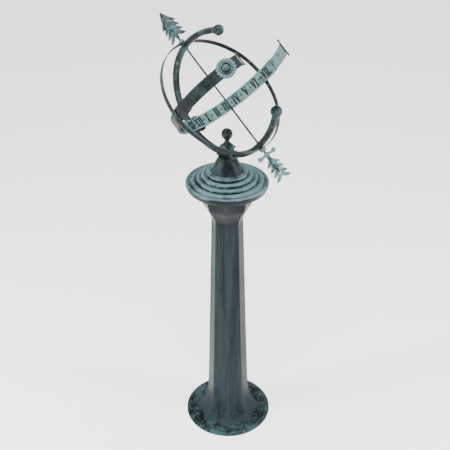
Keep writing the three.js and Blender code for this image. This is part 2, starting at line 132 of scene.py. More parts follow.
def spaced(outline, longest, closed=True):
    """An outline with points added so that no side is longer than longest."""
    points = []
    count = len(outline)
    for i in range(count if closed else count - 1):
        a, b = outline[i], outline[(i + 1) % count]
        parts = max(1, math.ceil(np.linalg.norm(b - a) / longest))
        points.extend(a + (b - a) * k / parts for k in range(parts))
    if not closed:
        points.append(outline[-1])
    return np.array(points)


def skin(rows, loop_rows=False):
    """Quads over rings of points, as (points, faces). The ends are closed where the rows don't loop."""
    rows = np.asarray(rows, float)
    count, width = rows.shape[:2]
    faces = []
    for r in range(count if loop_rows else count - 1):
        low, high = r * width, ((r + 1) % count) * width
        for c in range(width):
            d = (c + 1) % width
            faces.append((low + c, low + d, high + d, high + c))
    if not loop_rows:
        faces.append(tuple(range(width - 1, -1, -1)))
        faces.append(tuple((count - 1) * width + c for c in range(width)))
    return rows.reshape(-1, 3), faces


def plain_mesh(points, faces, place=None):
    """A mesh from points in millimetres, set at a place in the object's frame."""
    mesh = bpy.data.meshes.new("part")
    mesh.from_pydata((np.asarray(points) * mm).tolist(), [], faces)
    if place is not None:
        mesh.transform(place)
    return mesh


def turned(profile, sides=144, place=None):
    """A profile of (radius, height) turned about Z. It runs from axis to axis, or closes on itself."""
    angles = np.arange(sides) * 2 * math.pi / sides
    rows = [[(r * math.cos(a), r * math.sin(a), z) for a in angles] for r, z in profile]
    on_axis = profile[0][0] < 1e-6
    points, faces = skin(rows, loop_rows=not on_axis)
    if on_axis:
        faces = faces[:-2]
    return plain_mesh(points, faces, place)


def mark_rub_and_shade(mesh, passes=3):
    """Stores how far each vertex stands out from its neighbours: above 0 on edges, below 0 in grooves."""
    count = len(mesh.vertices)
    place, normal = np.empty(count * 3), np.empty(count * 3)
    mesh.vertices.foreach_get("co", place)
    mesh.vertices.foreach_get("normal", normal)
    place, normal = place.reshape(-1, 3), normal.reshape(-1, 3)
    ends = np.empty(len(mesh.edges) * 2, int)
    mesh.edges.foreach_get("vertices", ends)
    first, second = ends.reshape(-1, 2).T
    way = place[second] - place[first]
    way /= np.maximum(np.linalg.norm(way, axis=1, keepdims=True), 1e-9)
    pull = np.zeros((count, 3))
    np.add.at(pull, first, way)
    np.add.at(pull, second, -way)
    number = np.maximum(np.bincount(ends, minlength=count), 1)
    rub_and_shade = -(pull * normal).sum(1) / number
    for _ in range(passes):
        total = rub_and_shade * 2
        np.add.at(total, first, rub_and_shade[second])
        np.add.at(total, second, rub_and_shade[first])
        rub_and_shade = total / (number + 2)
    # Castings use this to lighten raised edges, as rubbed wash and painted highlight, and to darken grooves
    # as painted shade.
    mesh.attributes.new("rub_and_shade", "FLOAT", "POINT").data.foreach_set("value", rub_and_shade.astype(np.float32))


def fit_piece(name, meshes, material, body, slot, *nodes, sharp=38):
    """Welds meshes into one finished piece that rides on a body and stands for CAD nodes."""
    built = bmesh.new()
    for mesh in meshes:
        built.from_mesh(mesh)
        bpy.data.meshes.remove(mesh)
    bmesh.ops.remove_doubles(built, verts=built.verts, dist=1e-6)
    bmesh.ops.recalc_face_normals(built, faces=built.faces)
    mesh = bpy.data.meshes.new(name)
    built.to_mesh(mesh)
    built.free()
    mesh.shade_smooth()
    mesh.set_sharp_from_angle(angle=math.radians(sharp))
    mark_rub_and_shade(mesh)
    mesh.materials.clear()
    mesh.materials.append(material)
    piece = bpy.data.objects.new(name, mesh)
    scene.collection.objects.link(piece)
    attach(piece, body)
    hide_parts(*nodes)
    return piece


def add(tree, kind, sockets=None, **settings):
    """A node with its sockets set or linked and its settings made."""
    node = tree.nodes.new(kind)
    for key, value in settings.items():
        setattr(node, key, value)
    for key, value in (sockets or {}).items():
        if isinstance(value, bpy.types.NodeSocket):
            tree.links.new(value, node.inputs[key])
        else:
            node.inputs[key].default_value = value
    return node


def sum_of(tree, *terms):
    """Adds sockets and numbers, each term being (value, factor)."""
    total = 0.0
    for value, factor in terms:
        step = add(tree, "ShaderNodeMath", {0: value, 1: factor, 2: total}, operation="MULTIPLY_ADD")
        total = step.outputs[0]
    return total


def product(tree, first, second):
    """Multiplies two sockets or numbers."""
    return add(tree, "ShaderNodeMath", {0: first, 1: second}, operation="MULTIPLY").outputs[0]


def make_verdigris():
    """The finish that every casting shares: verdigris that lies in patches over dark paint, with painted
    light and shade added by facing and by raised edges and grooves.
    """
    tree = bpy.data.node_groups.new("verdigris", "ShaderNodeTree")
    for name, kind in (
        ("Vector", "NodeSocketVector"), ("Rub And Shade", "NodeSocketFloat"), ("Upward", "NodeSocketFloat"),
        ("Dark", "NodeSocketColor"), ("Wash", "NodeSocketColor"), ("Cover", "NodeSocketFloat"),
        ("Edge Wash And Shade", "NodeSocketFloat"), ("Painted Sky Light", "NodeSocketFloat"), ("Patches", "NodeSocketFloat"),
    ):
        tree.interface.new_socket(name, in_out="INPUT", socket_type=kind)
    for name, kind in (("Color", "NodeSocketColor"), ("Roughness", "NodeSocketFloat"),
                       ("Metallic", "NodeSocketFloat"), ("Height", "NodeSocketFloat")):
        tree.interface.new_socket(name, in_out="OUTPUT", socket_type=kind)
    given = add(tree, "NodeGroupInput").outputs

    def noise(times, detail):
        return add(tree, "ShaderNodeTexNoise", {
            "Vector": given["Vector"], "Scale": product(tree, given["Patches"], times), "Detail": detail,
            "Roughness": 0.6,
        }).outputs["Fac"]

    patches, flecks, grit = noise(1, 5), noise(5, 4), noise(22, 2)
    # Raised edges take more wash, as rubbed wash and painted highlight; grooves take less, as painted shade.
    edge = product(tree, given["Rub And Shade"], given["Edge Wash And Shade"])
    # Faces that look up take more wash and sides and undersides less: painted light from above and painted
    # shade under it.
    painted_sky_light = product(tree, given["Upward"], given["Painted Sky Light"])
    amount = sum_of(
        tree, (given["Cover"], 1), (patches, 2.6), (flecks, 1.1), (-1.85, 1), (edge, 1), (painted_sky_light, 1))
    washed = add(tree, "ShaderNodeMapRange", {"Value": amount, "From Min": 0.0, "From Max": 1.0},
                 interpolation_type="SMOOTHSTEP").outputs["Result"]
    mixed = add(tree, "ShaderNodeMixRGB", {0: washed, 1: given["Dark"], 2: given["Wash"]})
    shade = sum_of(tree, (flecks, 0.7), (grit, 0.45), (0.42, 1))
    color = add(tree, "ShaderNodeVectorMath", {0: mixed.outputs[0], "Scale": shade}, operation="SCALE")
    add(tree, "NodeGroupOutput", {
        "Color": color.outputs[0],
        "Roughness": sum_of(tree, (washed, 0.22), (grit, 0.2), (0.28, 1)),
        "Metallic": sum_of(tree, (washed, -0.3), (0.35, 1)),
        "Height": sum_of(tree, (flecks, 0.6), (grit, 0.4)),
    })
    return tree


verdigris = make_verdigris()


def casting_paint(name, dark, wash, cover, edge=1.5, painted_sky_light=0.2, patches=45, stretch=(1, 1, 1), bump=0.25):
    """A painted and washed casting. stretch draws the patches out along an axis. edge lightens raised edges
    as rubbed wash and painted highlight and darkens grooves as painted shade; the sky amount gives painted
    light to faces that look up and painted shade to sides and undersides.
    """
    material = bpy.data.materials.new(name)
    material.use_nodes = True
    tree = material.node_tree
    where = add(tree, "ShaderNodeTexCoord").outputs
    spot = add(tree, "ShaderNodeMapping", {"Vector": where["Object"], "Scale": stretch}).outputs[0]
    # The surface's facing, used for painted light on faces that look up and painted shade under them.
    upward = add(tree, "ShaderNodeSeparateXYZ", {0: where["Normal"]}).outputs["Z"]
    # The edge and groove mark: rubbed wash with painted highlight on edges, painted shade in grooves.
    rub_and_shade = add(tree, "ShaderNodeAttribute", attribute_name="rub_and_shade").outputs["Fac"]
    finish = add(tree, "ShaderNodeGroup", node_tree=verdigris)
    for key, value in {
        "Vector": spot, "Rub And Shade": rub_and_shade, "Upward": upward, "Dark": (*dark, 1), "Wash": (*wash, 1),
        "Cover": cover, "Edge Wash And Shade": edge, "Painted Sky Light": painted_sky_light, "Patches": patches,
    }.items():
        if isinstance(value, bpy.types.NodeSocket):
            tree.links.new(value, finish.inputs[key])
        else:
            finish.inputs[key].default_value = value
    relief = add(tree, "ShaderNodeBump", {
        "Height": finish.outputs["Height"], "Strength": bump, "Distance": 0.0006})
    shader = tree.nodes["Principled BSDF"]
    shader.inputs["Specular IOR Level"].default_value = 0.12
    for socket in ("Base Color", "Roughness", "Metallic"):
        tree.links.new(finish.outputs["Color" if socket == "Base Color" else socket], shader.inputs[socket])
    tree.links.new(relief.outputs[0], shader.inputs["Normal"])
    return material


# Its rings' grooves take painted shade, and its faces that look up take painted light.
dish_paint = casting_paint("dish_paint", (0.0065, 0.0090, 0.0095), (0.0440, 0.0800, 0.0850), 0.12,
                           edge=5, painted_sky_light=0.30, patches=26)
dish_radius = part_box("base_casting")[1].x / mm
dish_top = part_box("base_casting")[1].z / mm
plate_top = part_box("anchor_plate")[1].z / mm
bore_radius = 11
ring_pitch = 3.4
dish_rings = []
for k in range(3):
    ring_edge = dish_radius - 1.6 - k * ring_pitch
    ring_height = 2.6 + k * 0.9
    dish_rings += [(ring_edge, ring_height, 0.5), (ring_edge - 2.2, ring_height + 0.8, 0.7),
                   (ring_edge - 3.0, ring_height + 0.5, 0.3)]
dish_outline = rounded([
    (bore_radius, plate_top + 0.3, 0), (72, plate_top + 0.3, 0.4), (72, 1, 0.4),
    (dish_radius - 10, 1, 0.3), (dish_radius - 8, 0, 0.3), (dish_radius - 0.4, 0, 0.4),
    (dish_radius, 1.4, 0.6), *dish_rings, (dish_radius - 17, 6, 2), (dish_radius - 27, dish_top, 3),
    (bore_radius, dish_top, 0),
])
fit_piece("dish", [turned(spaced(dish_outline, 3), 180)], dish_paint,
          "pedestal", "cast_iron_dark", "base_casting")


# ------------------------------------------------------------------ tie rod and hidden hardware
# An M10 rod clamps dish, column, cap and neck between a steel plate and a long coupling nut.
# All of it is bright zinc-plated steel. All but the stud's upper end stays inside the pedestal.
def zinc_plate():
    """Zinc-plated steel with a faint turned grain."""
    material = bpy.data.materials.new("zinc_plate")
    material.use_nodes = True
    tree = material.node_tree
    where = add(tree, "ShaderNodeTexCoord").outputs["Object"]
    grain = add(tree, "ShaderNodeTexNoise", {"Vector": where, "Scale": 900, "Detail": 3}).outputs["Fac"]
    cloud = add(tree, "ShaderNodeTexNoise", {"Vector": where, "Scale": 60, "Detail": 4}).outputs["Fac"]
    tint = add(tree, "ShaderNodeValToRGB", {0: cloud})
    tint.color_ramp.elements[0].color = (0.36, 0.37, 0.38, 1)
    tint.color_ramp.elements[1].color = (0.60, 0.60, 0.58, 1)
    shader = tree.nodes["Principled BSDF"]
    tree.links.new(tint.outputs[0], shader.inputs["Base Color"])
    tree.links.new(sum_of(tree, (grain, 0.25), (0.22, 1)), shader.inputs["Roughness"])
    shader.inputs["Metallic"].default_value = 1
    return material


def finish_nodes(material, *names):
    """Gives a finish to nodes that keep their own shape."""
    for name in names:
        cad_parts[name].data.materials.clear()
        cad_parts[name].data.materials.append(material)


zinc = zinc_plate()
finish_nodes(zinc, "anchor_plate", "anchor_nut", "tie_rod", "cap_washer", "coupling_nut", "mounting_stud")


# ------------------------------------------------------------------ column shaft
# A hollow cast-iron column with eight sides that taper upwards, a pointed flared skirt at its
# foot and a bell at its head. Its dark paint is drawn out in upright strokes of verdigris.
# The column's flares and bell take painted light where they face up and painted shade where they face down.
column_paint = casting_paint("column_paint", (0.0055, 0.0080, 0.0092), (0.0150, 0.0270, 0.0315), 0.34,
                             edge=6, painted_sky_light=1.0, patches=60, stretch=(1, 1, 0.05), bump=0.3)
column_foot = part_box("column_shaft")[0].z / mm
column_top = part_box("column_shaft")[1].z / mm
column_twist = math.radians(-6.5)
side_angle = math.pi / 4
wall = 7
bore_widest = 48
bell_start, bell_end = 600, 645


def smooth_step(x, low, high):
    """Rises from 0 to 1 between low and high, level at both ends."""
    t = min(1, max(0, (x - low) / (high - low)))
    return t * t * (3 - 2 * t)


def column_radius(height):
    """Radius over the corners: a long taper, a flared foot and a bell at the top."""
    shaft = 54.5 - 17 * (height / 590)
    foot = 34 * math.exp(-(height - dish_top) / 21)
    bell = 17 * smooth_step(height, bell_start, bell_end) + 0.28 * max(0, height - 630)
    return shaft + foot + bell


def column_ring(height, inset=0):
    """One level of the column: straight sides that hollow at the flares, between narrow chamfers."""
    radius = column_radius(height) - inset
    if inset:
        radius = min(radius, bore_widest)
    flare = math.exp(-(height - dish_top) / 25) + 0.5 * smooth_step(height, bell_start, bell_end)
    hollow = 0.09 * flare
    ring = []
    for side in range(8):
        for share in (-1, -0.95, -0.8, -0.55, -0.28, 0, 0.28, 0.55, 0.8, 0.95):
            lean = share * side_angle / 2
            reach = math.cos(side_angle / 2) / math.cos(lean)
            reach = min(reach, 0.996) * (1 - hollow * (1 - share * share))
            angle = column_twist + (side + 0.5) * side_angle + lean
            ring.append((radius * reach * math.cos(angle), radius * reach * math.sin(angle), height))
    return ring


skirt = 95
shaft_end = 595
foot_heights = [column_foot + skirt * (k / 16) ** 1.5 for k in range(16)]
shaft_heights = [column_foot + skirt + (shaft_end - column_foot - skirt) * k / 30 for k in range(30)]
bell_heights = [shaft_end + (column_top - shaft_end) * k / 22 for k in range(23)]
column_rows = [column_ring(z) for z in foot_heights + shaft_heights + bell_heights]
bore_heights = [column_top, 600, 300, 100, column_foot]
column_rows += [column_ring(z, wall) for z in bore_heights]
fit_piece("column", [plain_mesh(*skin(column_rows, loop_rows=True))], column_paint,
          "pedestal", "cast_iron_dark", "column_shaft", sharp=20)


# ------------------------------------------------------------------ cap casting
# A round cast cap that sits on the column's bell. Three rounded steps climb to the neck inside
# a broad band and a thin lip; it carries the heaviest verdigris, palest where it faces up as painted light,
# with painted shade dark in its grooves and on its sides.
cap_paint = casting_paint("cap_paint", (0.0080, 0.0125, 0.0140), (0.0900, 0.1580, 0.1720), 0.02,
                          edge=1.5, painted_sky_light=0.98, patches=18, bump=0.3)
cap_low, cap_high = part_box("cap_casting")
cap_rim = cap_high.x / mm
cap_top = cap_high.z / mm
cap_seat = cap_low.z / mm
cap_bore = 6
bore_roof = 718
cap_outline = rounded([
    (cap_bore, cap_top, 0), (38, cap_top, 0.8), (40.5, cap_top - 1.6, 0.6), (41.5, cap_top - 2.6, 0.6),
    (47.2, cap_top - 3.2, 3.2), (47.8, cap_top - 10.4, 0.8), (49.4, cap_top - 10.2, 0.8),
    (51.6, cap_top - 8.6, 1.4), (58.4, cap_top - 9.4, 3.6), (59.1, cap_top - 18.0, 0.8),
    (60.8, cap_top - 17.8, 0.8), (63.0, cap_top - 16.2, 1.4), (69.6, cap_top - 17.0, 3.6),
    (70.3, cap_top - 25.4, 0.8), (72.0, cap_top - 25.0, 0.8), (74.6, cap_top - 22.2, 2.0),
    (79.0, cap_top - 22.0, 2.5), (83.6, cap_top - 25.2, 2.0), (84.4, cap_top - 28.2, 0.7),
    (86.8, cap_top - 28.0, 0.7), (89.0, cap_top - 26.0, 1.4), (cap_rim - 0.6, cap_top - 26.6, 2.6),
    (cap_rim, cap_top - 31.5, 1.4), (cap_rim - 2.5, cap_top - 40.5, 1.2), (cap_rim - 4, cap_top - 42, 1),
    (82, cap_top - 38.5, 1.5), (69, cap_top - 37.5, 1), (68, cap_seat, 0.6), (45, cap_seat, 0.6),
    (40, 690, 1), (20, bore_roof, 1), (cap_bore, bore_roof, 0),
])
fit_piece("cap", [turned(spaced(cap_outline, 2), 180)], cap_paint, "pedestal", "cast_iron_teal",
          "cap_casting", sharp=60)


# ------------------------------------------------------------------ neck casting
# A small hollow cone that covers the coupling nut and lifts the sphere off the cap.
# It is left darker than the cap, with a thin turned bead round its foot.
neck_paint = casting_paint("neck_paint", (0.0055, 0.0075, 0.0085), (0.0190, 0.0330, 0.0375), 0.28,
                           edge=2.2, patches=40, stretch=(1, 1, 0.35))
neck_low, neck_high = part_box("neck_casting")
neck_foot = neck_low.z / mm
neck_top = neck_high.z / mm
neck_rim = neck_high.x / mm
stud_hole = 3.3
neck_outline = rounded([
    (31, neck_foot, 0), (neck_rim, neck_foot, 0.5), (neck_rim, neck_foot + 2, 0.9),
    (neck_rim - 2, neck_foot + 2.6, 0.5), (neck_rim - 3.4, neck_foot + 5.2, 3), (29.4, neck_foot + 14.5, 6),
    (24.9, neck_foot + 23.6, 5), (22.8, neck_top - 1.4, 0.8), (22, neck_top, 0.8), (stud_hole, neck_top, 0),
    (stud_hole, neck_top - 4, 0), (14, neck_top - 5, 1), (18, neck_foot + 14, 3),
])
fit_piece("neck", [turned(spaced(neck_outline, 2), 96)], neck_paint, "pedestal", "cast_iron_dark",
          "neck_casting", sharp=60)


# ------------------------------------------------------------------ ring saddle and finial stack
# A saddle, a curved washer, a leafy nut and a sculpted bud clamp the meridian ring on one stud.
# Saddle and washer are plain dark castings; the nut is washed green, with eight curled leaves.
saddle_paint = casting_paint("saddle_paint", (0.0050, 0.0065, 0.0075), (0.0300, 0.0430, 0.0450), 0.30,
                             patches=90)
finish_nodes(saddle_paint, "ring_saddle", "saddle_washer", "noon_spacer")


def evaluated(tree, mesh, inputs):
    """The mesh that a Geometry Nodes tree makes from another, with inputs set by their identifiers."""
    carrier = bpy.data.objects.new("carrier", mesh)
    scene.collection.objects.link(carrier)
    modifier = carrier.modifiers.new("shape", "NODES")
    modifier.node_group = tree
    for identifier, value in inputs.items():
        modifier[identifier] = value
    solved = carrier.evaluated_get(bpy.context.evaluated_depsgraph_get())
    result = bpy.data.meshes.new_from_object(solved)
    bpy.data.objects.remove(carrier)
    return result


def repeated_round(mesh, count, material):
    """Geometry Nodes: the mesh copied evenly round Z, as one mesh."""
    tree = bpy.data.node_groups.new("round", "GeometryNodeTree")
    tree.interface.new_socket("Geometry", in_out="INPUT", socket_type="NodeSocketGeometry")
    copies = tree.interface.new_socket("Copies", in_out="INPUT", socket_type="NodeSocketInt")
    tree.interface.new_socket("Geometry", in_out="OUTPUT", socket_type="NodeSocketGeometry")
    given = add(tree, "NodeGroupInput").outputs
    points = add(tree, "GeometryNodeMeshLine", {"Count": given["Copies"], "Offset": (0, 0, 0)}).outputs[0]
    share = add(tree, "ShaderNodeMath", {0: 2 * math.pi, 1: given["Copies"]}, operation="DIVIDE").outputs[0]
    turn = product(tree, add(tree, "GeometryNodeInputIndex").outputs[0], share)
    spin = add(tree, "ShaderNodeCombineXYZ", {"Z": turn}).outputs[0]
    ring = add(tree, "GeometryNodeInstanceOnPoints", {
        "Points": points, "Instance": given["Geometry"], "Rotation": spin}).outputs[0]
    real = add(tree, "GeometryNodeRealizeInstances", {0: ring}).outputs[0]
    done = add(tree, "GeometryNodeSetMaterial", {"Geometry": real, "Material": material}).outputs[0]
    add(tree, "NodeGroupOutput", {0: done})
    return evaluated(tree, mesh, {copies.identifier: count})


def leaf(start, end, breadth, base, crest, curl=0.0, steps=14, around=12):
    """A rounded leaf along +X, widest past its middle, swelling from base to crest with a tip that lifts."""
    rows = []
    for i in range(steps + 1):
        t = i / steps
        half = breadth / 2 * max(0.06, math.sin(math.pi * t ** 0.8)) ** 0.6
        rise = (crest - base) * max(0.08, math.sin(math.pi * min(1, 0.15 + t * 0.85)) ** 0.5)
        x = start + (end - start) * t
        ring = []
        for k in range(around):
            a = 2 * math.pi * k / around
            crease = 1 - 0.22 * math.exp(-(math.cos(a) / 0.25) ** 2)
            ring.append((x, half * math.cos(a), base + curl * t * t + rise * max(0, math.sin(a)) * crease
                         - 0.4 * max(0, -math.sin(a))))
        rows.append(ring)
    return plain_mesh(*skin(rows))


nut_paint = casting_paint("nut_paint", (0.0060, 0.0085, 0.0095), (0.0520, 0.0880, 0.0920), 0.05,
                          edge=4, patches=70)
nut_low, nut_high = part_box("rosette_nut")
nut_foot = nut_low.z / mm
nut_reach = nut_high.x / mm
nut_hub = turned(spaced(rounded([
    (stud_hole, nut_foot, 0), (12, nut_foot, 1), (14, nut_foot + 3.5, 2), (13.2, nut_foot + 7.6, 2),
    (9.6, nut_foot + 11.4, 2), (8.2, nut_foot + 12.2, 0.8), (6.2, nut_foot + 14.7, 1),
    (stud_hole, nut_foot + 14.7, 0),
]), 1.5), 96)
big_leaf = leaf(6, nut_reach, 12.5, nut_foot + 1.6, nut_foot + 6.6, curl=0.3)
small_leaf = leaf(5, nut_reach - 4.5, 9, nut_foot + 4.6, nut_foot + 9.6, curl=0.4)
small_leaf.transform(Matrix.Rotation(math.pi / 8, 4, "Z"))
leaves = [repeated_round(blade, 8, nut_paint) for blade in (big_leaf, small_leaf)]
fit_piece("leafy_nut", [nut_hub, *leaves], nut_paint, "finial", "verdigris_trim", "rosette_nut")


def cut_from(mesh, *tools):
    """The mesh with tools taken out of it."""
    body = bpy.data.objects.new("blank", mesh)
    scene.collection.objects.link(body)
    helpers = []
    for tool in tools:
        helper = bpy.data.objects.new("tool", tool)
        scene.collection.objects.link(helper)
        step = body.modifiers.new("cut", "BOOLEAN")
        step.operation, step.solver, step.object = "DIFFERENCE", "EXACT", helper
        helpers.append(helper)
    solved = body.evaluated_get(bpy.context.evaluated_depsgraph_get())
    result = bpy.data.meshes.new_from_object(solved)
    for thing in (body, *helpers):
        spent = thing.data
        bpy.data.objects.remove(thing)
        bpy.data.meshes.remove(spent)
    return result


bud_paint = casting_paint("bud_paint", (0.0055, 0.0075, 0.0080), (0.0300, 0.0480, 0.0500), 0.16,
                          edge=3.0, patches=80)
bud_low, bud_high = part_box("finial_ball")
bud_radius = bud_high.x / mm
bud_centre = bud_high.z / mm - bud_radius
bud_rows = []
for i in range(1, 60):
    polar = math.pi * (1 - i / 60)
    row = []
    for k in range(120):
        around = 2 * math.pi * k / 120
        scale_left = math.cos(4 * around + 5 * polar)
        scale_right = math.cos(4 * around - 5 * polar)
        swell = 1 - 0.13 * (1 - abs(scale_left * scale_right) ** 0.5) * math.sin(polar)
        radius = bud_radius * swell
        row.append((radius * math.sin(polar) * math.cos(around), radius * math.sin(polar) * math.sin(around),
                    bud_centre + radius * math.cos(polar)))
    bud_rows.append(row)
bud_foot = bud_low.z / mm
bud_stem = turned(spaced(rounded([
    (stud_hole, bud_foot, 0), (6.4, bud_foot, 0.4), (6.4, bud_foot + 1.7, 0.8), (4.9, bud_foot + 3.2, 1),
    (4.9, bud_foot + 5, 1), (6.8, bud_foot + 7.2, 1), (6.2, bud_foot + 9.5, 1),
    (stud_hole, bud_foot + 9.5, 0),
]), 1.2), 72)
stud_pocket = turned([(0, bud_foot - 5), (stud_hole, bud_foot - 5), (stud_hole, bud_centre - 6),
                      (0, bud_centre - 6)], 48)
fit_piece("bud", [cut_from(plain_mesh(*skin(bud_rows)), stud_pocket), bud_stem], bud_paint,
          "finial", "ring_metal", "finial_ball", sharp=60)


# ------------------------------------------------------------------ meridian ring and its end balls
# A heavy open ring of rounded bar, widened where its slot slides on the stud, and closed by two
# balls. The bar carries both poles; its dark paint is rubbed to verdigris along the edges, which also carry
# a painted highlight.
latitude = math.radians(39.5)
centre = Vector((-13.5, 0, 903.6)) * mm
noon = Vector((-math.sin(latitude), 0, -math.cos(latitude)))
pole = Vector((-math.cos(latitude), 0, math.sin(latitude)))
west = Vector((0, -1, 0))
sphere_place = Matrix.Translation(centre) @ Matrix((noon, west, pole)).transposed().to_4x4()
ring_paint = casting_paint("ring_paint", (0.0045, 0.0062, 0.0068), (0.0380, 0.0650, 0.0670), 0.02,
                           edge=6, painted_sky_light=0.35, patches=40)


def bar_section(depth, width, ease, crown=0.0):
    """Outline (depth, width) of a flat bar with eased corners and a crowned outer face."""
    d, w = depth / 2, width / 2
    corners = [(d - crown, -w, ease), (d, 0, w * 0.8), (d - crown, w, ease), (-d, w, ease), (-d, -w, ease)]
    return spaced(rounded(corners, 3), 3.5)


def hoop(plane, radius_at, section, start, end, steps, offset=0.0):
    """A section carried round an arc, between two angles, in one plane of the sphere."""
    whole = abs(end - start) > 359.9
    rows = []
    for i in range(steps if whole else steps + 1):
        a = math.radians(start + (end - start) * i / steps)
        ring = []
        for out, across in section:
            r = radius_at(a) + out
            x, y = offset + r * math.cos(a), r * math.sin(a)
            ring.append({"noon-pole": (x, across, y), "noon-west": (x, y, across),
                         "west-pole": (across, x, y)}[plane])
        rows.append(ring)
    return plain_mesh(*skin(rows, loop_rows=whole), sphere_place)


def tool_rod(radius, low, high, axis, sides=32):
    """A cylinder along one axis of the sphere, for a hole."""
    swing = {"pole": Matrix.Identity(4), "noon": Matrix.Rotation(math.pi / 2, 4, "Y"),
             "west": Matrix.Rotation(-math.pi / 2, 4, "X")}[axis]
    return turned([(0, low), (radius, low), (radius, high), (0, high)], sides, sphere_place @ swing)


meridian_radius, meridian_depth, meridian_width = 134, 13, 11.5
meridian_ease, meridian_crown = 2.2, 0.5
north_end, south_end = 134, -128
rivet_bore = 2.3
through = 170


def meridian_line(angle):
    """The ring's radius, which opens out past each pole."""
    past = max(0, abs(angle) - math.pi / 2) / math.radians(45)
    return meridian_radius + (6.5 if angle > 0 else 12) * past ** 1.6


seat = -math.degrees(latitude) + math.degrees(math.asin(centre.x / mm / meridian_radius))
bar = bar_section(meridian_depth, meridian_width, meridian_ease, meridian_crown)
pad = bar_section(meridian_depth - 0.2, 20, 1.2)
slot = bar_section(meridian_depth + 20, 7.6, 0.5)
stud_slot = hoop("noon-pole", lambda a: meridian_radius, slot, seat - 7, seat + 7, 20)
pole_hole = tool_rod(3.9, -through, through, "pole")
noon_hole = tool_rod(rivet_bore, 110, 160, "noon")
ring_blank = hoop("noon-pole", meridian_line, bar, south_end, north_end, 220)
pad_blank = hoop("noon-pole", lambda a: meridian_radius, pad, seat - 9.5, seat + 9.5, 30)
fit_piece("meridian", [cut_from(ring_blank, stud_slot.copy(), pole_hole.copy(), noon_hole.copy()),
                       cut_from(pad_blank, stud_slot)],
          ring_paint, "sphere", "ring_metal", "meridian_ring", sharp=45)


def end_ball(name, node, radius, end):
    """A ball with a turned collar where the bar enters it."""
    past = math.radians(end + math.copysign(3, end))
    reach = meridian_line(past)
    swing = Matrix.Rotation(-past, 4, "Y") @ Matrix.Rotation(math.pi if end > 0 else 0, 4, "X")
    profile = [(0, -radius)] + [(radius * math.sin(t), -radius * math.cos(t))
                                for t in (math.pi * k / 40 for k in range(1, 40))] + [(0, radius)]
    for k, (r, z) in enumerate(profile):
        ridge = 1 - 0.05 * math.exp(-((z / radius - 0.55) / 0.07) ** 2)
        profile[k] = (r * ridge, z)
    ball = turned(profile, 72, sphere_place @ swing @ Matrix.Translation((reach * mm, 0, 0)))
    fit = 0.6
    loose = bar_section(meridian_depth + fit, meridian_width + fit, meridian_ease, meridian_crown)
    low, high = sorted((end - math.copysign(20, end), end + math.copysign(0.2, end)))
    pocket = hoop("noon-pole", meridian_line, loose, low, high, 24)
    fit_piece(name, [cut_from(ball, pocket)], ring_paint, "sphere", "ring_metal", node, sharp=50)


end_ball("upper_ball", "upper_end_ball", 11.5, north_end)
end_ball("lower_ball", "lower_end_ball", 12.5, south_end)


# ------------------------------------------------------------------ colure ring
# A thin full circle of flat strip across the poles, east and west. Rivets tie it to the band.
# Its narrow edges are worn green and carry a painted highlight, and its faces are still dark.
colure_radius, colure_depth, colure_width = 142, 2.2, 10.4
strip = bar_section(colure_depth, colure_width, 0.5)
colure = hoop("west-pole", lambda a: colure_radius, strip, 0, 360, 300)
fit_piece("colure", [cut_from(colure, pole_hole, tool_rod(rivet_bore, -through, through, "west"))],
          ring_paint, "sphere", "ring_metal", "colure_ring", sharp=45)


# ------------------------------------------------------------------ equatorial band
# A broad strip that carries the hours on its inner face, between raised rims, and runs on as a
# plain tongue at each end. It is dark outside and washed pale green inside, with dark numerals.
band_radius, band_offset, band_depth, band_width = 140.9, -32.9, 4, 28.5
panel_end = 95
west_end, east_end = 152, -127
# The outer face takes painted light where it faces up.
outer_paint = casting_paint("outer_paint", (0.0038, 0.0050, 0.0054), (0.0150, 0.0250, 0.0265), 0.22,
                            edge=2.6, painted_sky_light=0.55, patches=35)
inner_paint = casting_paint("inner_paint", (0.0100, 0.0150, 0.0155), (0.1150, 0.2000, 0.1980), 0.72,
                            edge=3.0, painted_sky_light=0.0, patches=35)
panel = bar_section(band_depth, band_width, 0.5)
tongue = bar_section(band_depth, 25.5, 0.5)
rim_rise, rim_width = 1.6, 2.2
rim = bar_section(rim_rise, rim_width, 0.5)
rim_seat = band_radius - band_depth / 2 - 0.6
rivet_hole = tool_rod(rivet_bore, -through, through, "west")
rosette_angle = math.radians(139.5)
band_place = sphere_place @ Matrix.Translation((band_offset * mm, 0, 0))
outwards = Matrix.Rotation(math.pi / 2, 4, "Y")
rosette_spot = band_place @ Matrix.Rotation(rosette_angle, 4, "Z") @ outwards
noon_spot = band_place @ outwards
screw_bore = 2.1
rosette_hole = turned([(0, 120), (screw_bore, 120), (screw_bore, 160), (0, 160)], 24, rosette_spot)
strips = [
    cut_from(hoop("noon-west", lambda a: band_radius, panel, -panel_end, panel_end, 180, band_offset),
             rivet_hole.copy()),
    cut_from(hoop("noon-west", lambda a: band_radius, tongue, panel_end - 2, west_end, 60, band_offset),
             rosette_hole, rivet_hole.copy()),
    cut_from(hoop("noon-west", lambda a: band_radius, tongue, east_end, 2 - panel_end, 40, band_offset),
             rivet_hole),
]
for side in (-1, 1):
    edge = rim + np.array((0, side * (band_width - rim_width) / 2))
    strips.append(hoop("noon-west", lambda a: rim_seat, edge, -panel_end, panel_end, 180, band_offset))
cross = bar_section(rim_rise, band_width, 0.4)
for end in (-panel_end, panel_end - 1):
    strips.append(hoop("noon-west", lambda a: rim_seat, cross, end, end + 1, 3, band_offset))
band = fit_piece("band", strips, outer_paint, "sphere", "band_metal", "equatorial_band", sharp=45)
band.data.materials.append(inner_paint)
band_middle = sphere_place @ Vector((band_offset * mm, 0, 0))
for face in band.data.polygons:
    toward = band_middle - face.center
    toward -= pole * toward.dot(pole)
    face.material_index = 1 if face.normal.dot(toward.normalized()) > 0.3 else 0


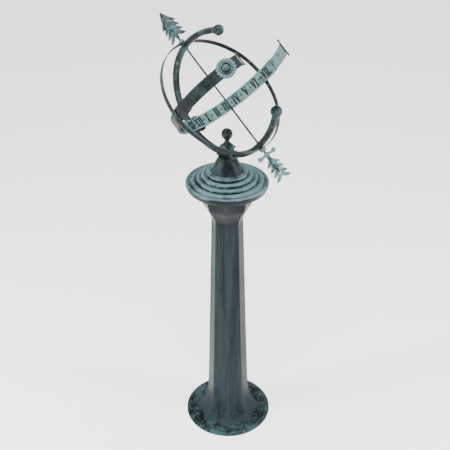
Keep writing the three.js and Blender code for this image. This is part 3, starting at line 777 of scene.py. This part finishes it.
# ------------------------------------------------------------------ hour numerals
# Raised Roman numerals with a round stud between each pair, standing on the band's inner face.
# They are cast with the band and picked out in dark paint.
numeral_paint = casting_paint("numeral_paint", (0.0025, 0.0035, 0.0038), (0.0120, 0.0170, 0.0170), 0.10,
                              edge=1.5, patches=120)
numeral_height, thick, thin, serif = 19.5, 3.1, 1.7, 1.5
hour_pitch = 11.25
spread = 1.12
root_depth = -0.2
dot_radius = 1.6


def strokes(letter):
    """One letter, centred across, as its width and the four-cornered outlines of its strokes."""
    h = numeral_height / 2
    if letter == "I":
        return 5.2, [[(-thick / 2, -h), (thick / 2, -h), (thick / 2, h), (-thick / 2, h)],
                     [(-2.3, h - serif), (2.3, h - serif), (2.3, h), (-2.3, h)],
                     [(-2.3, -h), (2.3, -h), (2.3, serif - h), (-2.3, serif - h)]]
    if letter == "V":
        return 9.6, [[(-4.2, h), (-4.2 + thick, h), (thick / 2, -h), (-thick / 2, -h)],
                     [(4.0 - thin, h), (4.0, h), (thin / 2, -h), (-thin / 2, -h)],
                     [(-4.8, h - serif), (-1.0, h - serif), (-1.0, h), (-4.8, h)],
                     [(1.6, h - serif), (4.8, h - serif), (4.8, h), (1.6, h)]]
    return 10.0, [[(-4.2, h), (-4.2 + thick, h), (4.2, -h), (4.2 - thick, -h)],
                  [(4.0 - thin, h), (4.0, h), (-4.0 + thin, -h), (-4.0, -h)],
                  [(-4.9, h - serif), (-1.2, h - serif), (-1.2, h), (-4.9, h)],
                  [(1.8, h - serif), (4.9, h - serif), (4.9, h), (1.8, h)],
                  [(1.2, -h), (4.9, -h), (4.9, serif - h), (1.2, serif - h)],
                  [(-4.9, -h), (-1.8, -h), (-1.8, serif - h), (-4.9, serif - h)]]


def on_band(corners, middle, low, high):
    """A flat outline (along, up) raised from the band's inner face at an angle from noon."""
    face = band_radius - band_depth / 2
    rows = []
    for depth, ease in ((low, 0), (high - 0.25, 0), (high, 0.22)):
        r = face - depth
        hub_along = sum(u for u, _ in corners) / len(corners)
        hub_up = sum(v for _, v in corners) / len(corners)
        row = []
        for u, v in corners:
            u += (hub_along - u) * ease * 0.35
            v += (hub_up - v) * ease * 0.10
            a = math.radians(middle) - u / face
            row.append((band_offset + r * math.cos(a), r * math.sin(a), v))
        rows.append(row)
    return plain_mesh(*skin(rows), sphere_place)


marks = []
hours = ["V", "VI", "VII", "VIII", "IX", "X", "XI", "XII", "I", "II", "III", "IV", "V", "VI", "VII"]
for place, hour in enumerate(hours):
    angle = (7 - place) * hour_pitch
    if place in (0, len(hours) - 1):
        angle += math.copysign(4, angle)  # clear of the rivet heads
    letters = [strokes(letter) for letter in hour]
    along = -sum(width for width, _ in letters) / 2
    for width, outlines in letters:
        for n, corners in enumerate(outlines):
            shifted = [((u + along + width / 2) * spread, v) for u, v in corners]
            marks.append(on_band(shifted, angle, root_depth, 0.9 + 0.02 * n))
        along += width
    if place < len(hours) - 1:
        turns = (k * math.pi / 10 for k in range(20))
        dot = [(dot_radius * math.cos(t), dot_radius * math.sin(t)) for t in turns]
        marks.append(on_band(dot, (6.5 - place) * hour_pitch, root_depth, 1.0))
fit_piece("numerals", marks, numeral_paint, "sphere", "band_metal", "equatorial_band", sharp=30)


# ------------------------------------------------------------------ band end bars
# A thin round bar with a knob at each tip closes each end of the band.
# Both are dark, with the knobs rubbed green and given a painted highlight.
def end_bar(name, node, angle, half):
    """A bar with turned collars and knobs, just past the end of the band."""
    at = math.radians(angle) + math.copysign(2.8 / band_radius, angle)
    knob = 2.5
    profile = [(0, -half)]
    for k in range(1, 9):
        t = math.pi * k / 10
        profile.append((knob * math.sin(t), -half + knob - knob * math.cos(t)))
    profile += [(1.3, 5.2 - half), (2.1, 5.7 - half), (2.1, 6.5 - half), (1.5, 7 - half),
                (1.35, -2), (1.7, 0)]
    profile += [(r, -z) for r, z in reversed(profile[:-1])]
    spot = sphere_place @ Matrix.Translation(
        Vector((band_offset + band_radius * math.cos(at), band_radius * math.sin(at), 0)) * mm)
    fit_piece(name, [turned(profile, 32, spot)], ring_paint, "sphere", "ring_metal", node, sharp=60)


end_bar("west_bar", "west_end_bar", west_end, 15.5)
end_bar("east_bar", "east_end_bar", east_end, 21.5)


# ------------------------------------------------------------------ rosettes
# Two round cast flowers on the band's outer face: sixteen petals about a ring and a flat eye.
# The western one is rubbed bright green and screwed on; the noon one is dark and carries a spacer.
rosette_paint = casting_paint("rosette_paint", (0.0065, 0.0095, 0.0100), (0.0950, 0.1550, 0.1600), 0.10,
                              edge=6, patches=75)
dark_rosette_paint = casting_paint("dark_rosette_paint", (0.0045, 0.0060, 0.0065), (0.0360, 0.0520, 0.0530),
                                   0.24, edge=2.6, patches=75)
rosette_reach = 21
rosette_seat = band_radius + band_depth / 2 + 0.3


def rosette(name, node, spot, paint, slot, hole_radius, hole_depth):
    """A flower: a thin back plate, petals, a bead ring and an eye."""
    low = rosette_seat
    plate = turned(spaced(rounded([
        (0, low, 0), (rosette_reach - 1.6, low, 0.3), (rosette_reach - 1.3, low + 1.0, 0.4),
        (rosette_reach - 2, low + 1.9, 0.4), (12.4, low + 1.8, 0.3), (11.9, low + 3.4, 0.6),
        (10.8, low + 4.6, 0.7), (9.7, low + 4.0, 0.5), (9.2, low + 2.6, 0.4), (7.0, low + 2.6, 0.3),
        (6.6, low + 5.2, 0.7), (4.0, low + 6.4, 1), (0, low + 6.9, 0),
    ]), 1.5), 96, spot)
    petals = repeated_round(leaf(12.2, rosette_reach - 0.3, 8.0, low + 0.4, low + 3.9, curl=0.1), 16, paint)
    petals.transform(spot)
    bore = turned([(0, low - 2), (hole_radius, low - 2), (hole_radius, low + hole_depth),
                   (0, low + hole_depth)], 24, spot)
    fit_piece(name, [cut_from(plate, bore), petals], paint, "sphere", slot, node)


rosette("west_flower", "west_rosette", rosette_spot, rosette_paint, "verdigris_trim", screw_bore, 4)
rosette("noon_flower", "noon_rosette", noon_spot, dark_rosette_paint, "ring_metal", rivet_bore, 12)


# ------------------------------------------------------------------ rivets, screws and pole hubs
# Round-headed rivets join band and colure ring; flanged bushes carry the arrow's rod at each pole.
# The bushes are washed green and each holds one small steel set screw.
for side, name in ((1, "west"), (-1, "east")):
    inner = math.sqrt(band_radius ** 2 - band_offset ** 2) - band_depth / 2 - 1.3
    outer = colure_radius + colure_depth / 2 + 0.3
    dome = [(4.2 * math.cos(t), outer + 2.2 * math.sin(t)) for t in (math.pi / 2 * k / 8 for k in range(9))]
    back = [(3.6 * math.sin(t), inner - 1.8 * math.cos(t)) for t in (math.pi / 2 * k / 6 for k in range(7))]
    profile = [(0, inner - 1.8), *back[1:], (2, inner), (2, outer), *dome[:-1], (0, outer + 2.2)]
    swing = Matrix.Rotation(-side * math.pi / 2, 4, "X")
    fit_piece(f"{name}_stud", [turned(profile, 32, sphere_place @ swing)], ring_paint,
              "sphere", "ring_metal", f"{name}_rivet", sharp=50)

hub_paint = casting_paint("hub_paint", (0.0085, 0.0125, 0.0130), (0.1200, 0.1700, 0.1680), 0.60,
                          edge=3, patches=90)
hub_inner = meridian_radius - meridian_depth / 2 - 2
hub_face = colure_radius + colure_depth / 2 + 0.3
rod_clear = 2.5
set_screw_bore = 1.75
for turn, name in ((0, "north"), (math.pi, "south")):
    pole_place = sphere_place @ Matrix.Rotation(turn, 4, "X")
    hub = turned(spaced(rounded([
        (rod_clear, hub_inner, 0), (3.6, hub_inner, 0.2), (3.6, hub_face, 0), (7, hub_face, 0.3),
        (7.4, hub_face + 1, 0.4), (7.2, hub_face + 1.9, 0.3), (6.3, hub_face + 2.2, 0.2),
        (6.3, hub_face + 4.2, 0.3), (7.0, hub_face + 5.0, 0.4), (5.6, hub_face + 7, 1),
        (rod_clear, hub_face + 7, 0),
    ]), 2), 64, pole_place)
    across = pole_place @ Matrix.Translation((0, 0, (hub_face + 3) * mm)) @ outwards
    screw_hole = turned([(0, 0), (set_screw_bore, 0), (set_screw_bore, 12), (0, 12)], 24, across)
    fit_piece(f"{name}_bush", [cut_from(hub, screw_hole)], hub_paint,
              "sphere", "verdigris_trim", f"{name}_hub", sharp=50)
finish_nodes(zinc, "north_set_screw", "south_set_screw", "noon_screw", "west_rosette_screw")


# ------------------------------------------------------------------ arrow
# A round rod through both poles that casts the shadow, with a feathered head and tail fixed on it.
# Head and tail are flat castings with overlapping barbs about a rounded rib, dark and rubbed green.
arrow_paint = casting_paint("arrow_paint", (0.0050, 0.0070, 0.0075), (0.0600, 0.1020, 0.1060), 0.04,
                            edge=4.5, patches=60)
tail_paint = casting_paint("tail_paint", (0.0065, 0.0095, 0.0100), (0.1150, 0.1950, 0.2020), 0.06,
                           edge=6, patches=70)
head_roll, tail_roll = math.radians(18), math.radians(36)
rod_profile = [(0, -187.6), (2.0, -187.6), (2.2, -187.2), (2.2, 171.2), (2.0, 171.6), (0, 171.6)]
fit_piece("rod", [turned(spaced(np.array(rod_profile), 6, closed=False), 28, sphere_place)],
          ring_paint, "arrow", "ring_metal", "gnomon_rod", sharp=40)


def barb(root, tip, breadth, depth, bow, steps=14, around=12):
    """A barb from its root on the rib to its tip, as (across, along) points, bowed and tapering."""
    root, tip = np.array(root, float), np.array(tip, float)
    way = tip - root
    side = np.array((way[1], -way[0])) / np.linalg.norm(way)
    rows = []
    for i in range(steps + 1):
        t = i / steps
        spot = root + way * t + side * bow * math.sin(math.pi * t)
        half = breadth / 2 * (1 - t ** 4) + 0.4
        thick_here = depth / 2 * (1 - 0.62 * t)
        ring = []
        for k in range(around):
            a = 2 * math.pi * k / around
            lift = math.sin(a)
            swell = thick_here * lift * (0.45 + 0.55 * abs(lift))
            ring.append((spot[0] + side[0] * half * math.cos(a), swell,
                         spot[1] + side[1] * half * math.cos(a)))
        rows.append(ring)
    return rows


def feathered(name, node, roll, paint, slot, lead, tips, rib, depth, bore, breadth):
    """Both sides of a feathered blade about its rib, rolled to its angle about the rod."""
    place = sphere_place @ Matrix.Rotation(roll, 4, "Z")
    hole = turned([(0, bore[0]), (rod_clear, bore[0]), (rod_clear, bore[1]), (0, bore[1])], 28, place)
    meshes = []
    for side in (-1, 1):
        for n, (reach, along, back) in enumerate(tips):
            root, tip = (0.8, along + back), (reach - 0.6, along + 0.5)
            rows = np.array(barb(root, tip, breadth, depth + 0.9 * n, 1.2))
            rows[:, :, 0] *= side
            meshes.append(cut_from(plain_mesh(*skin(rows), place), hole.copy()))
        if lead:
            rows = []
            for k in range(15):
                t = k / 14
                along = lead[0] - (lead[0] - lead[1]) * t
                half = lead[2] * t ** 0.9 * (1 - 0.10 * math.sin(math.pi * t))
                inner_edge = max(0, half - 11.5)
                flat = depth / 2 * min(1, 0.35 + t)
                lip, lip_along = 0.55 * min(1, t * 4), along - 1.5 * t
                rows.append([(side * inner_edge, -flat, along), (side * half, -lip, lip_along),
                             (side * half, lip, lip_along), (side * inner_edge, flat, along)])
            meshes.append(plain_mesh(*skin(rows), place))
    meshes.append(cut_from(turned(spaced(rounded(rib), 4), 40, place), hole))
    fit_piece(name, meshes, paint, "arrow", slot, node, sharp=35)


head_tip, head_half = 228, 24.5
first_tip = head_tip - 37
head_tips = [(head_half * (0.88 + 0.04 * k), first_tip - k * 12.2, 21) for k in range(4)]
head_rib = [(0, 158, 0), (4.2, 158, 0.4), (4.2, 180, 6), (2.2, 206, 6), (0.9, 224, 3), (0, 226.5, 0)]
feathered("head", "arrowhead", head_roll, arrow_paint, "arrow_metal",
          (head_tip - 0.5, first_tip + 1.5, head_half * 0.88 - 0.5), head_tips, head_rib,
          4.2, (150, 172), 9.2)
tail_end, tail_half = 222, 19
tail_tips = [(tail_half * (0.88 + 0.04 * k), 36 - tail_end - k * 12, 13.5) for k in range(4)]
tail_rib = [(0, -207, 0), (1.6, -206, 0.5), (2.4, -202, 2), (4.2, -194, 3), (4.2, -168.5, 0.5),
            (0, -168.5, 0)]
feathered("feathers", "fletching", tail_roll, tail_paint, "verdigris_trim", None, tail_tips, tail_rib,
          4.0, (-188, -163.5), 8.4)


# ------------------------------------------------------------------ scroll bar and binding
# A cross bar with a curled scroll at each end sits ahead of the feathers, under two slanted turns.
# Three more turns bind the rod behind it. All of it is cast and washed green.
def tube(line, radius, around=10):
    """A round cord along points. A radius can be one number or one for each point."""
    line = np.asarray(line, float)
    radii = np.broadcast_to(radius, len(line))
    ways = np.gradient(line, axis=0)
    upright = abs(ways[0][1]) < 0.8 * np.linalg.norm(ways[0])
    guide = np.array((0.0, 1.0, 0.0) if upright else (1.0, 0.0, 0.0))
    rows = []
    for spot, way, r in zip(line, ways, radii):
        way = way / np.linalg.norm(way)
        side = np.cross(way, guide)
        side /= np.linalg.norm(side)
        guide = np.cross(side, way)
        rows.append([spot + r * (side * math.cos(a) + guide * math.sin(a))
                     for a in (2 * math.pi * k / around for k in range(around))])
    return skin(rows)


bar_place = sphere_place @ Matrix.Rotation(tail_roll, 4, "Z") @ Matrix.Translation((0, 0, -159 * mm))
bar_half = 21.5
curl_middle = bar_half - 3.9
curl_radius = 3.7
arm_share = 0.45
curl_points = 60
scrolls = []
for side in (-1, 1):
    curl = []
    for k in range(curl_points):
        t = k / (curl_points - 1)
        if t < arm_share:
            share = t / arm_share
            curl.append((side * (3 + (bar_half - 6.9) * share), 0, -curl_radius * share * share))
        else:
            share = (t - arm_share) / (1 - arm_share)
            a = share * 3.1 * math.pi
            r = curl_radius * (1 - 0.62 * share)
            curl.append((side * (curl_middle + r * math.sin(a)), 0, -r * math.cos(a)))
    thickness = np.interp(np.linspace(0, 1, curl_points), [0, arm_share, 1], [3.1, 2.5, 1.5])
    scrolls.append(plain_mesh(*tube(curl, thickness), bar_place))
    eye_place = (bar_place @ Matrix.Translation((side * curl_middle * mm, 0, 0))
                 @ Matrix.Rotation(math.pi / 2, 4, "X"))
    scrolls.append(turned([(0, -2.4), (1.4, -2.2), (1.9, -1.2), (1.9, 1.2), (1.4, 2.2), (0, 2.4)], 20,
                          eye_place))
boss_hole = turned([(0, -20), (rod_clear, -20), (rod_clear, 20), (0, 20)], 28, bar_place)
boss = turned(spaced(rounded([
    (0, -4.4, 0), (3.4, -4.4, 0.3), (4.2, -3.2, 0.8), (4.2, 3.2, 0.8), (3.4, 4.4, 0.3), (0, 4.4, 0),
]), 1), 40, bar_place)
scrolls.append(cut_from(boss, boss_hole))
wrap_radius, wrap_slant = 4.6, 3.3
for turn in (-1, 1):
    wrap = []
    for k in range(40):
        a = 2 * math.pi * k / 39
        wrap.append((wrap_radius * math.cos(a), wrap_radius * math.sin(a), turn * wrap_slant * math.cos(a)))
    scrolls.append(plain_mesh(*tube(wrap, 1.2, 8), bar_place))
fit_piece("scroll", scrolls, tail_paint, "arrow", "verdigris_trim", "scroll_bar")

binding_turns = []
for k in range(3):
    rise = 1.37 * k
    binding_turns.append(turned(spaced(rounded([
        (rod_clear, -168 + rise, 0), (4.5, -168 + rise, 0.3), (5.1, -167.3 + rise, 0.5),
        (4.5, -166.65 + rise, 0.3), (rod_clear, -166.65 + rise, 0),
    ]), 0.8), 40, sphere_place))
fit_piece("cord", binding_turns, tail_paint, "arrow", "verdigris_trim", "binding", sharp=60)
